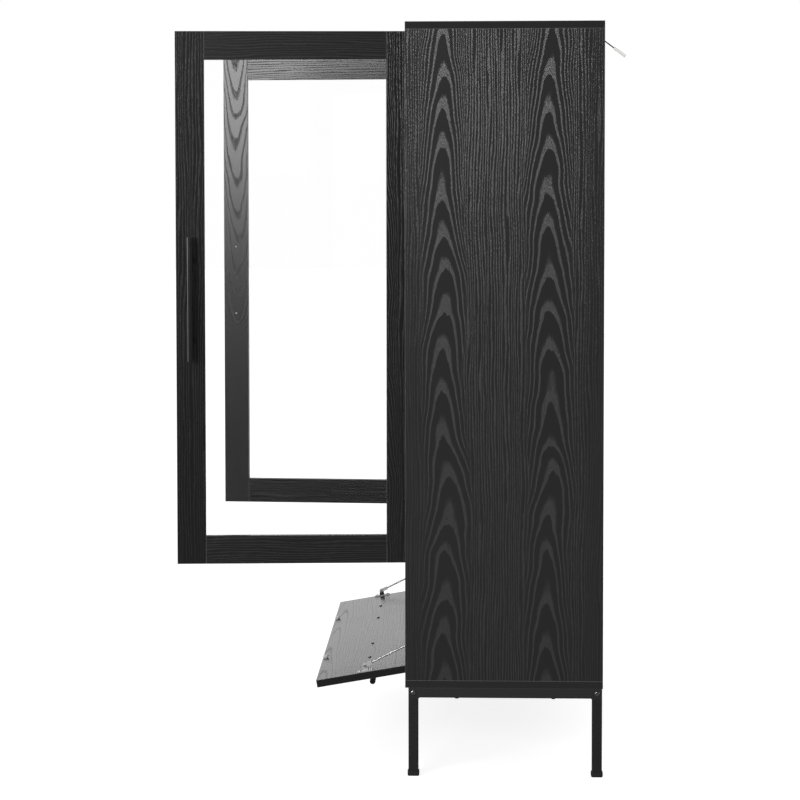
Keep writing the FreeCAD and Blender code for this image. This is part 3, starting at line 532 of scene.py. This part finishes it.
def stay_steel():
    material, start = new_finish("stay_steel")
    x, y, z = place_mm(start)
    pivots = {joint["name"]: joint["pos_m"] for joint in frame["joints"]}
    rivet = pivots["right_stay_rod_pivot"]
    across, up = y - rivet[1] * MM, z - rivet[2] * MM
    shaft_and_painted_shade = ease(x.math("SQRT", across * across + up * up), *FORK_REACH)
    bloom = cloud(x * 0.25, y * 0.25, z * 0.25, detail=4.0)
    drawn = cloud(x * 4.0, y * 0.4, z * 4.0)
    surface(start, {
        # painted shade, partly: the shaft's darker colour stands in for the shade on the far rod
        "Base Color": blend(shaft_and_painted_shade, (0.72, 0.72, 0.72), (0.45, 0.45, 0.46)),
        "Metallic": 1.0,
        "Roughness": 0.44 - shaft_and_painted_shade * 0.16 + bloom * 0.06,
        "Normal": bump(drawn, 0.00002),
    })
    return material


# %% [markdown]
# ## Plastic, magnets, hardboard and beech
# Foot caps and catches are moulded with a fine spark texture, and bushes and the wall plug are
# white nylon. Magnets are grey and gritty. The back is hardboard with a plain printed foil, and
# the dowels are beech with short dark flecks. Most of these hide inside, so each is one noise
# or two, used for colour, roughness and bump together.


# %% Moulded plastic
def moulded(name, colour, spark, roughness):
    """Moulded plastic with a fine spark texture, in one colour with paler sparks."""
    material, start = new_finish(name)
    x, y, z = place_mm(start)
    texture = cloud(x * 2.4, y * 2.4, z * 2.4)
    flow = cloud(x * 0.12, y * 0.12, z * 0.12)
    surface(start, {
        "Base Color": blend(flow * 0.6 + texture * 0.4, colour, spark),
        "Roughness": texture * 0.14 + roughness,
        "Specular IOR Level": 0.30,
        "Normal": bump(texture, 0.00006),
    })
    return material


# %% Sintered magnet, foiled hardboard and fluted beech
def sintered_magnet():
    material, start = new_finish("sintered_magnet")
    x, y, z = place_mm(start)
    grit = cloud(x * 1.8, y * 1.8, z * 1.8, detail=4.0)
    surface(start, {
        "Base Color": blend(grit, (0.060, 0.060, 0.066), (0.130, 0.130, 0.138)),
        "Metallic": 0.4,
        "Roughness": grit * 0.2 + 0.42,
        "Normal": bump(grit, 0.00005),
    })
    return material


def foiled_hardboard():
    material, start = new_finish("foiled_hardboard")
    x, y, z = place_mm(start)
    fibre = cloud(x * 0.5, y * 0.5, z * 0.5, detail=5.0)
    print_lines = cloud(x * 0.9, y * 0.9, z * 0.012)
    mask = ease(print_lines, 0.45, 0.75) * 0.6 + fibre * 0.4
    surface(start, {
        "Base Color": blend(mask, (0.010, 0.010, 0.010), (0.026, 0.026, 0.026)),
        "Roughness": mask * 0.18 + 0.40,
        "Specular IOR Level": 0.25,
        "Normal": bump(fibre, 0.00008),
    })
    return material


def fluted_beech():
    material, start = new_finish("fluted_beech")
    x, y, z = place_mm(start)
    flecks = ease(cloud(x * 0.12, y * 1.4, z * 1.4), 0.50, 0.72)
    surface(start, {
        "Base Color": blend(flecks, (0.60, 0.43, 0.27), (0.44, 0.29, 0.17)),
        "Roughness": flecks * 0.12 + 0.55,
        "Normal": bump(flecks, 0.0001),
    })
    return material


# %% [markdown]
# ## Clear glass
# The panes are plain float glass: nothing to see face on, and a green line at a cut edge.
# A mask from the facing of the surface tints only the edges. Light for the boards behind
# passes the pane, so for shadow rays and scattered rays the shader turns to plain
# transparency: bent light would count twice there and leave specks on the shelves.


# %% The panes
def float_glass(name):
    material, start = new_finish(name + "_pane")
    body = nodes[name]["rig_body"]
    facing = split(shut_vector(start, start.node("TexCoord", output="Normal"), body, True))
    edge = ease(abs(facing[1]), 0.9, 0.5)
    pane = start.node("BsdfPrincipled", inputs={
        "Base Color": blend(edge, (1.0, 1.0, 1.0), (0.42, 0.66, 0.56)),
        "Roughness": 0.0, "IOR": 1.15, "Transmission Weight": 1.0})
    clear = start.node("BsdfTransparent", inputs={"Color": (0.97, 0.98, 0.975, 1)})
    passing = larger(ray_kind(start, "Shadow"), ray_kind(start, "Diffuse"))
    start.node("OutputMaterial", inputs={
        "Surface": start.node("MixShader", inputs={0: passing, 1: pane, 2: clear})})
    return material


# %% [markdown]
# ## Put the finishes on
# Each solid carries the name of what it is made of, and most take the finish of that name.
# A few have one of their own: the boards with their figures, the panes, the handles, the
# stay rods and brackets, the keepers and the bolts. The solids themselves are left alone.

# %% Put the finishes on
finishes = {
    "black_steel": powder_coat(),
    "zinc_steel": zinc_plate("zinc_plate", 0.16),
    "dull_zinc": zinc_plate("dull_zinc_plate", 0.38),
    "chalky_zinc": zinc_plate("chalky_zinc_plate", 0.30, metal=0.1),
    "black_plastic": moulded("black_plastic_moulded", (0.0125,) * 3, (0.021,) * 3, 0.40),
    "white_nylon": moulded("white_nylon_moulded", (0.74, 0.74, 0.72), (0.86, 0.86, 0.85), 0.36),
    "magnet": sintered_magnet(),
    "black_hardboard": foiled_hardboard(),
    "dowel_wood": fluted_beech(),
}
own = dict.fromkeys(("left_door_handle", "right_door_handle", "flap_handles"), gloss_lacquer())
own.update(dict.fromkeys(("left_stay_rod", "right_stay_rod"), stay_steel()))
own["stay_brackets"] = finishes["dull_zinc"]
own["flap_catch_discs"] = finishes["chalky_zinc"]
own["frame_bolts"] = blackened_steel()
for name, solid in nodes.items():
    slot = solid.material_slots[0].material.name
    if name in own:
        look = own[name]
    elif name in FIGURES:
        look = grain_foil(name, **FIGURES[name])
    elif slot == "clear_glass":
        look = float_glass(name)
    else:
        look = finishes[slot.split(".")[0]]
    for place in solid.material_slots:
        place.material = look
print(len(FIGURES), "boards foiled,", len(nodes) - len(FIGURES), "fittings finished")

# %% [markdown]
# ## Screws
# The photograph shows two screw heads on each stay bracket, and the small fittings need
# theirs as well. A pan head is a stack of circles that draws in towards the top. The driver's
# cross is a twelve-sided outline let into the flat top, with walls that taper to its floor.
# Cutting the cross with a Boolean would leave slivers, so the faces are laid point by point.
# Each head is laid out on the closed cabinet, where the places are square and easy to
# measure, and is then swung out with the leaf that it rides on.

# %% Outlines and walls
SPOKES = 36
QUARTER_TURNS = ((1, 0), (0, 1), (-1, 0), (0, -1))


def circle(work, radius, height):
    turns = [2.0 * math.pi * spoke / SPOKES for spoke in range(SPOKES)]
    return [work.verts.new((radius * math.cos(a), radius * math.sin(a), height)) for a in turns]


def cross(work, half, reach, height):
    """The outline of a cross with arms this wide and long."""
    arm = [(half, half), (half, reach), (-half, reach)]
    points = [(x * c - y * s, x * s + y * c) for c, s in QUARTER_TURNS for x, y in arm]
    return [work.verts.new((x, y, height)) for x, y in points]


def ring_edges(work, ring):
    """The edges round an outline, made where they are missing."""
    pairs = zip(ring, ring[1:] + ring[:1])
    return [work.edges.get(pair) or work.edges.new(pair) for pair in pairs]


def wall(work, ring, other):
    """Faces between two outlines with the same number of points."""
    for i in range(len(ring)):
        j = (i + 1) % len(ring)
        work.faces.new((ring[i], ring[j], other[j], other[i]))


def closed_mesh(name, work):
    """A mesh with its faces turned outward."""
    bmesh.ops.recalc_face_normals(work, faces=work.faces)
    mesh = bpy.data.meshes.new(name)
    work.to_mesh(mesh)
    work.free()
    return mesh


# %% A screw head with a cross
# Each profile goes up the head, as shares of its radius and of its height.
PAN_PROFILE = ((1.00, -0.10), (1.00, 0.38), (0.93, 0.74), (0.78, 1.00))
DOME_PROFILE = ((1.00, -0.10), (1.00, 0.05), (0.85, 0.50), (0.70, 0.80), (0.58, 1.00))
ARM_REACH, ARM_HALF = 0.72, 0.13  # of the flat top's radius, and of the head's
FLOOR_REACH, FLOOR_HALF, FLOOR_UP = 0.79, 0.09, 0.25


def head_mesh(name, radius, height, profile):
    """A screw head on the floor of its own axes, pointing up."""
    work = bmesh.new()
    rings = [circle(work, radius * wide, height * up) for wide, up in profile]
    for ring, other in zip(rings, rings[1:]):
        wall(work, ring, other)
    work.faces.new(rings[0])
    reach = radius * profile[-1][0] * ARM_REACH
    mouth = cross(work, radius * ARM_HALF, reach, height)
    floor_ring = cross(work, radius * FLOOR_HALF, reach * FLOOR_REACH, height * FLOOR_UP)
    rims = ring_edges(work, rings[-1]) + ring_edges(work, mouth)
    bmesh.ops.triangle_fill(work, edges=rims, use_beauty=True)
    wall(work, mouth, floor_ring)
    work.faces.new(floor_ring)
    return closed_mesh(name, work)


# %% Put a piece on the closed cabinet
heads = []


def put_on(mesh, stand, node, slot, look=None):
    """A mesh stood on the closed cabinet, swung out with one solid's leaf to ride there."""
    body = nodes[node]["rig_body"]
    mesh.transform(closed_matrix(body).inverted() @ stand)
    mesh.materials.append(finishes[look or slot])
    piece = bpy.data.objects.new(mesh.name, mesh)
    bpy.context.scene.collection.objects.link(piece)
    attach(piece, body)


def screw(name, node, place, way, size, slot="black_steel", profile=PAN_PROFILE, look=None):
    """A screw head of this radius and height, standing on a place and pointing this way."""
    stand = Matrix.Translation(place) @ Vector(way).to_track_quat("Z", "Y").to_matrix().to_4x4()
    put_on(head_mesh(name, *size, profile), stand, node, slot, look)
    heads.append(name)


# %% [markdown]
# ## Dark cheeks of the stay brackets, partly painted shade
# From the middle of the cabinet a small black cheek hides each stay's rivet. It is partly
# painted shade: a dark piece where the far bracket lies in the near door's shade. It is an
# upright plate with two rounded corners: one outline, drawn twice and walled. A bevelled cube
# would round all four corners, so the outline is drawn here and only its sharp edges are bevelled.

# %% A cheek
CHEEK_WIDE, CHEEK_TALL, CHEEK_THICK = 0.011, 0.008, 0.0018
CHEEK_CORNER = CHEEK_WIDE * 0.36
CHEEK_BEVEL = 0.0003
CORNER_STEPS = 6
SHARP_ANGLE = 1.0


def shade_cheek(name, place):
    """A small dark upright plate with rounded top corners on a stay bracket, partly painted shade.
    """
    work = bmesh.new()
    half, rise = CHEEK_WIDE / 2 - CHEEK_CORNER, CHEEK_TALL - CHEEK_CORNER
    turns = [math.pi / 2 * step / CORNER_STEPS for step in range(CORNER_STEPS + 1)]
    corner = [(half + CHEEK_CORNER * math.cos(turn), rise + CHEEK_CORNER * math.sin(turn))
              for turn in turns]
    mirrored = [(-across, up) for across, up in reversed(corner)]
    outline = [(CHEEK_WIDE / 2, 0.0)] + corner + mirrored + [(-CHEEK_WIDE / 2, 0.0)]
    rings = [[work.verts.new((x, up, across)) for across, up in outline]
             for x in (0.0, CHEEK_THICK)]
    wall(work, *rings)
    for ring in rings:
        work.faces.new(ring)
    bmesh.ops.recalc_face_normals(work, faces=work.faces)
    sharp = [edge for edge in work.edges if edge.calc_face_angle() > SHARP_ANGLE]
    bmesh.ops.bevel(work, geom=sharp, offset=CHEEK_BEVEL, segments=2, affect="EDGES")
    put_on(closed_mesh(name, work), Matrix.Translation(place), "stay_brackets", "black_plastic")


# %% [markdown]
# ## Where the screws and cheeks go
# On the closed cabinet the inner faces of the doors and the flap look to the back, so their
# screws point inward. All places are counted from the boxes of the solids that carry them, so
# the screws follow when a solid is moved. Typed places would be quicker, and soon wrong.

# %% Screws and cheeks of the stay brackets
INWARD, LEFTWARD, UP, DOWN = (0, 1, 0), (-1, 0, 0), (0, 0, 1), (0, 0, -1)
PLATE = 0.002
STAY_SCREW = (0.0032, 0.0022)  # radius and height, as for all the screws below
STAY_SCREW_INSET, STAY_SCREW_STEP = 0.007, 0.0125
CHEEK_INSET = 0.014
low, high = closed_box("stay_brackets")
middle = (low.z + high.z) / 2
for side, x in (("left", low.x + STAY_SCREW_INSET), ("right", high.x - STAY_SCREW_INSET)):
    for end, step in (("low", -STAY_SCREW_STEP), ("high", STAY_SCREW_STEP)):
        spot = (x, low.y + PLATE, middle + step)
        screw("stay_screw_" + side + "_" + end, "stay_brackets", spot, INWARD, STAY_SCREW,
              "zinc_steel", look="dull_zinc")
# painted shade, partly: a dark cheek on the inner side of each bracket, seen on the far one
for side, x in (("left", low.x + CHEEK_INSET - CHEEK_THICK), ("right", high.x - CHEEK_INSET)):
    shade_cheek("stay_shade_cheek_" + side, (x, low.y + PLATE, middle))

# %% Screws of the keepers
DIMPLE = 0.001
KEEPER_RADIUS = 0.006
FLAP_KEEPER_SCREW, DOOR_KEEPER_SCREW = (0.0040, 0.0012), (0.0020, 0.0009)
low, high = closed_box("flap_catch_discs")
for side, x in (("left", low.x + KEEPER_RADIUS), ("right", high.x - KEEPER_RADIUS)):
    spot = (x, high.y - DIMPLE, (low.z + high.z) / 2)
    screw("flap_keeper_screw_" + side, "flap_catch_discs", spot, INWARD, FLAP_KEEPER_SCREW,
          "zinc_steel", look="chalky_zinc")
for side in ("left", "right"):
    low, high = closed_box(side + "_door_catch_disc")
    spot = ((low.x + high.x) / 2, high.y - DIMPLE, (low.z + high.z) / 2)
    screw("door_keeper_screw_" + side, side + "_door_catch_disc", spot, INWARD,
          DOOR_KEEPER_SCREW, "zinc_steel")

# %% Screws of the catches and the tether's plate
CATCH_DEEP, CATCH_TALL = 0.015, 0.022
CATCH_SCREW, CATCH_SCREW_STEP = (0.0026, 0.0016), 0.011
TETHER_SCREW, TETHER_SCREW_INSET = (0.0022, 0.0014), 0.0032
low, high = closed_box("magnetic_catches")
door_disc, flap_disc = closed_box("right_door_catch_disc"), closed_box("flap_catch_discs")
door_x = (door_disc[0].x + door_disc[1].x) / 2
flap_x = flap_disc[1].x - KEEPER_RADIUS
for group, x, y, z in (("door", door_x, low.y + CATCH_DEEP / 2, high.z - CATCH_TALL),
                       ("flap", flap_x, high.y - CATCH_DEEP / 2, low.z)):
    for side, sign in (("left", -1), ("right", 1)):
        for step in (-CATCH_SCREW_STEP, CATCH_SCREW_STEP):
            end = "in" if step * sign < 0 else "out"
            screw("_".join((group, "catch_screw", side, end)), "magnetic_catches",
                  (sign * x + step, y, z), DOWN, CATCH_SCREW)
low, high = closed_box("tether_bracket")
spot = (high.x - PLATE, (low.y + high.y) / 2, high.z - TETHER_SCREW_INSET)
screw("tether_screw", "tether_bracket", spot, LEFTWARD, TETHER_SCREW)

# %% [markdown]
# ## Crosses on the cam locks and the handle screws
# Each of these solids holds several loose parts, and each part needs its own driver cross. The
# parts are told apart by walking along the edges of the mesh: what can't be reached from one
# point belongs to the next part. A cam's cross lies on the side that is flush with its board.


# %% Find the loose parts of a solid
def islands(solid):
    """Lowest and highest corners of the loose parts of a solid when its leaf is shut."""
    work = bmesh.new()
    work.from_mesh(solid.data)
    work.transform(closed_matrix(solid["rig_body"]))
    bmesh.ops.remove_doubles(work, verts=work.verts, dist=1e-6)
    left = set(work.verts)
    found = []
    while left:
        reached = [left.pop()]
        for vertex in reached:
            fresh = {edge.other_vert(vertex) for edge in vertex.link_edges} & left
            left -= fresh
            reached.extend(fresh)
        found.append([[pick(v.co[i] for v in reached) for i in range(3)] for pick in (min, max)])
    work.free()
    return sorted(found)


# %% Crosses
CAM_CROSS, HANDLE_CROSS = (0.0064, 0.0006), (0.0023, 0.00030)
FLUSH = 0.0005
for number, (low, high) in enumerate(islands(nodes["cam_locks"])):
    x, y = [(a + b) / 2 for a, b in zip(low, high)][:2]
    for board in ("top_panel", "divider_panel", "bottom_panel"):
        under, over = closed_box(board)
        if abs(low[2] - under.z) < FLUSH:
            spot, way = (x, y, low[2]), DOWN
        elif abs(high[2] - over.z) < FLUSH:
            spot, way = (x, y, high[2]), UP
        else:
            continue
        screw("cam_cross_%02d" % number, "cam_locks", spot, way, CAM_CROSS, "zinc_steel")
for leaf in ("left_door", "right_door", "flap"):
    for number, (low, high) in enumerate(islands(nodes[leaf + "_handle_screws"])):
        spot = ((low[0] + high[0]) / 2, high[1], (low[2] + high[2]) / 2)
        screw("%s_handle_cross_%d" % (leaf, number), leaf + "_handle_screws", spot, INWARD,
              HANDLE_CROSS, "zinc_steel", DOME_PROFILE)
print(len(heads), "screw heads and crosses")

# %% [markdown]
# ## The white surround
# The photograph has a white surround, so rays from the camera that miss the cabinet, straight
# or through a pane, find plain white. Mirror rays find white beyond the cabinet, and a dim room
# overhead and on the camera's side, because the boards and rods there mirror nothing bright
# but the lamps. The light that falls on the cabinet from all round is lower than white. A
# brighter world would give the white as well, and would bleach the black boards.

# %% Surround
AMBIENT = 0.55
DIM_SIDE, DARK_SIDE = 0.22, 0.10


def seen_directly(start):
    """1 for rays from the camera, straight or through a pane."""
    return larger(ray_kind(start, "Camera"), ray_kind(start, "Transmission"))


world = bpy.data.worlds.new("white_surround")
bpy.context.scene.world = world
world.use_nodes = True
world.node_tree.nodes.clear()
sky = Wire(world.node_tree)
towards = split(sky.node("TexCoord", output="Generated"))
dim = DIM_SIDE - ease(towards[1], 0.03, 0.14) * (DIM_SIDE - DARK_SIDE)
beyond = ease(towards[0], 0.25, -0.25) * ease(towards[2], 0.8, 0.4)
mirrored = dim + (1.0 - dim) * beyond
seen = seen_directly(sky)
by_mirror = ray_kind(sky, "Glossy") * (1.0 - seen)
level = AMBIENT + seen * (1.0 - AMBIENT) + by_mirror * (mirrored - AMBIENT)
sky.node("OutputWorld", inputs={
    "Surface": sky.node("Background", inputs={"Color": (1, 1, 1, 1), "Strength": level})})

# %% [markdown]
# ## The floor
# The floor is pale and diffuse, so it keeps the cabinet's soft shadow. Seen directly it glows
# a little, to meet the white surround without an edge. To mirror rays it is darker, because
# the low boards in the photograph mirror no bright floor.

# %% Floor
FLOOR_SIZE = 60.0
FLOOR_PALE, FLOOR_MIRRORED, FLOOR_GLOW = 0.58, 0.18, 0.80

bpy.ops.mesh.primitive_plane_add(size=FLOOR_SIZE)
floor = bpy.context.object
floor.name = "floor"
paper, start = new_finish("floor_paper")
seen = seen_directly(start)
by_mirror = ray_kind(start, "Glossy") * (1.0 - seen)
matte = start.node("BsdfDiffuse", inputs={
    "Color": FLOOR_PALE - by_mirror * (FLOOR_PALE - FLOOR_MIRRORED)})
glow = start.node("Emission", inputs={"Color": (1, 1, 1, 1), "Strength": FLOOR_GLOW})
lit = start.node("AddShader", inputs={0: matte, 1: glow})
start.node("OutputMaterial", inputs={
    "Surface": start.node("MixShader", inputs={0: seen, 1: matte, 2: lit})})
floor.data.materials.append(paper)

# %% [markdown]
# ## The lamps
# One large softbox stands to the left of the camera and a little higher: the handle's shadow
# on the near door gives its side, and the sheen at the top of the far door, which mirrors the
# softbox, gives its height. A weak low softbox in front of the cabinet draws the thin bright
# line down the side of the handle. Sun or point lamps would draw hard shadows instead.


# %% The two softboxes
def soft_lamp(name, place, aim, size, power):
    """A rectangular area lamp at a place, turned to face another."""
    lamp = bpy.data.lights.new(name, "AREA")
    lamp.shape = "RECTANGLE"
    lamp.size, lamp.size_y = size
    lamp.energy = power
    stand = bpy.data.objects.new(name, lamp)
    bpy.context.scene.collection.objects.link(stand)
    stand.location = place
    stand.rotation_euler = (Vector(aim) - Vector(place)).to_track_quat("-Z", "Y").to_euler()
    print(name, "of", power, "W at", place)


soft_lamp("softbox", place=(5.37, -2.53, 1.97), aim=(0.0, 0.0, 0.9), size=(2.9, 1.45), power=187.0)
soft_lamp("low_softbox", place=(0.2, -5.0, 0.74), aim=(0.2, 0.0, 0.74), size=(2.7, 1.0), power=17.0)

# %% [markdown]
# ## The camera
# The photograph looks almost square on to the cabinet's right side from about five metres,
# with the lens a little above the handles. Edges measured in the picture, near and far, give
# the place, the turn and the lens. Most of the drop of the picture below the lens comes
# from tilting the camera and the rest from a small shift, so upright edges stay upright.
# A limit on light that has bounced keeps bright specks from the rods off the flap.

# %% Camera
TURN, TILT, ROLL = 2.5033, 3.0819, -0.0999  # degrees
BOUNCE_LIMIT = 1.0
camera_data = bpy.data.cameras.new("camera")
camera = bpy.data.objects.new("camera", camera_data)
bpy.context.scene.collection.objects.link(camera)
camera.location = (5.5641, 0.1410, 1.1964)
aim = Matrix.Rotation(math.radians(90.0 + TURN), 3, "Z")
aim = aim @ Matrix.Rotation(math.radians(90.0 - TILT), 3, "X")
aim = aim @ Matrix.Rotation(math.radians(ROLL), 3, "Z")
camera.rotation_euler = aim.to_euler()
camera_data.sensor_width = 36.0
camera_data.lens = 113.948
camera_data.shift_x = 0.0498
camera_data.shift_y = -0.1
bpy.context.scene.camera = camera
bpy.context.scene.view_settings.view_transform = "Standard"
bpy.context.scene.cycles.sample_clamp_indirect = BOUNCE_LIMIT
print("camera at", tuple(round(part, 3) for part in camera.location))
